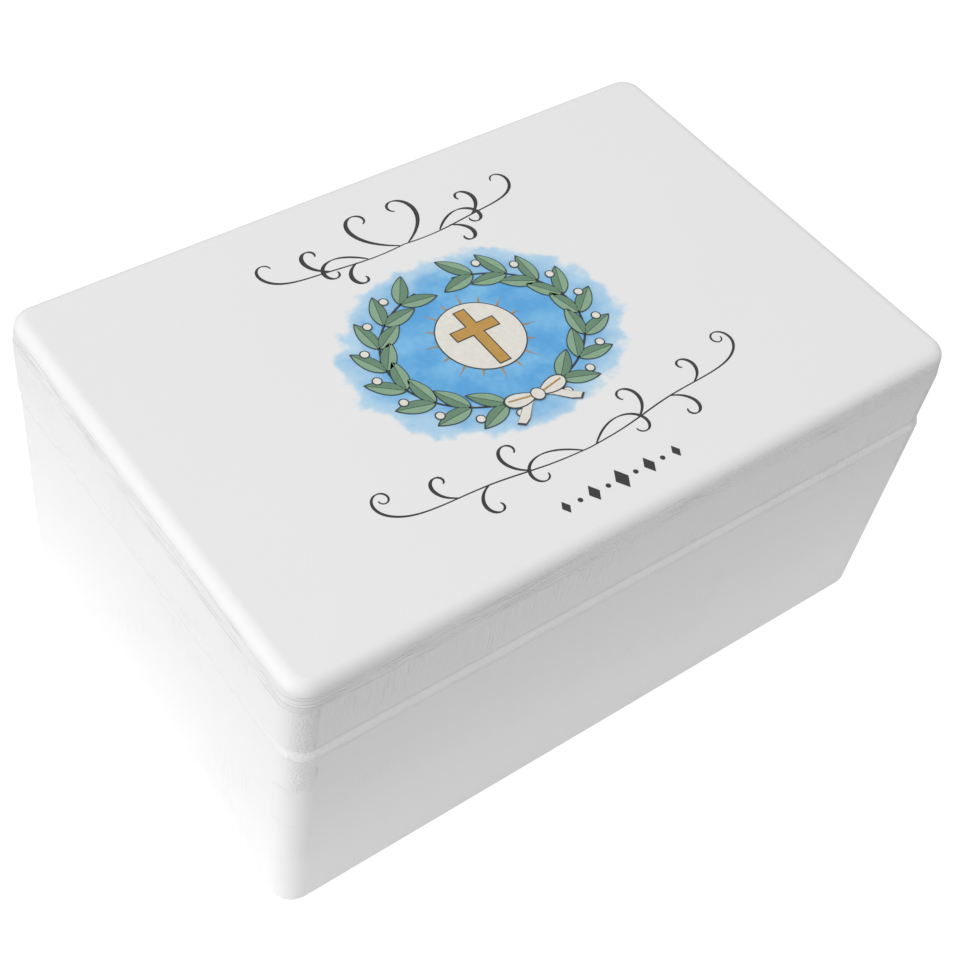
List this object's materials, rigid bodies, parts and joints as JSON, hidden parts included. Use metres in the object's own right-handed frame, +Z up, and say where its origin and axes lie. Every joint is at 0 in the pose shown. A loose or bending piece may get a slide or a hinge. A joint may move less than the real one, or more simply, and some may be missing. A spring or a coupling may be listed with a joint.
{
  "type": "rosary box",
  "caption": "White-painted wooden keepsake box with finger-jointed boards, rounded edges, a plywood bottom and a plywood-topped lid that opens on butt hinges at the back.",
  "frame": {"origin": "middle of the underside of the base", "axes": "+X along the length, to the right seen from the front; +Y from front to back, towards the hinges; +Z up"},
  "size_m": [0.3, 0.1985, 0.142],
  "materials": {
    "painted_wood": "satin white paint over sanded solid wood",
    "painted_plywood": "satin white paint over plywood, the plies just showing at the rounded edge",
    "hinge_brass": "bright brass plate",
    "pin_steel": "plain drawn steel",
    "screw_brass": "bright brass plate"
  },
  "bodies": {
    "base": {"front_wall": "painted_wood", "back_wall": "painted_wood", "left_wall": "painted_wood", "right_wall": "painted_wood", "bottom_panel": "painted_plywood", "left_hinge_base_leaf": "hinge_brass", "left_hinge_pin": "pin_steel", "left_hinge_base_screws": "screw_brass", "right_hinge_base_leaf": "hinge_brass", "right_hinge_pin": "pin_steel", "right_hinge_base_screws": "screw_brass"},
    "lid": {"lid_front_rail": "painted_wood", "lid_back_rail": "painted_wood", "lid_left_rail": "painted_wood", "lid_right_rail": "painted_wood", "lid_top_panel": "painted_plywood", "left_hinge_lid_leaf": "hinge_brass", "left_hinge_lid_screws": "screw_brass", "right_hinge_lid_leaf": "hinge_brass", "right_hinge_lid_screws": "screw_brass"}
  },
  "joints": [
    {"name": "lid_hinge", "type": "hinge", "parent": "base", "child": "lid", "pos_m": [0, 0.0979, 0.1071], "axis": [-1, 0, 0], "range_deg": [0, 103]}
  ]
}
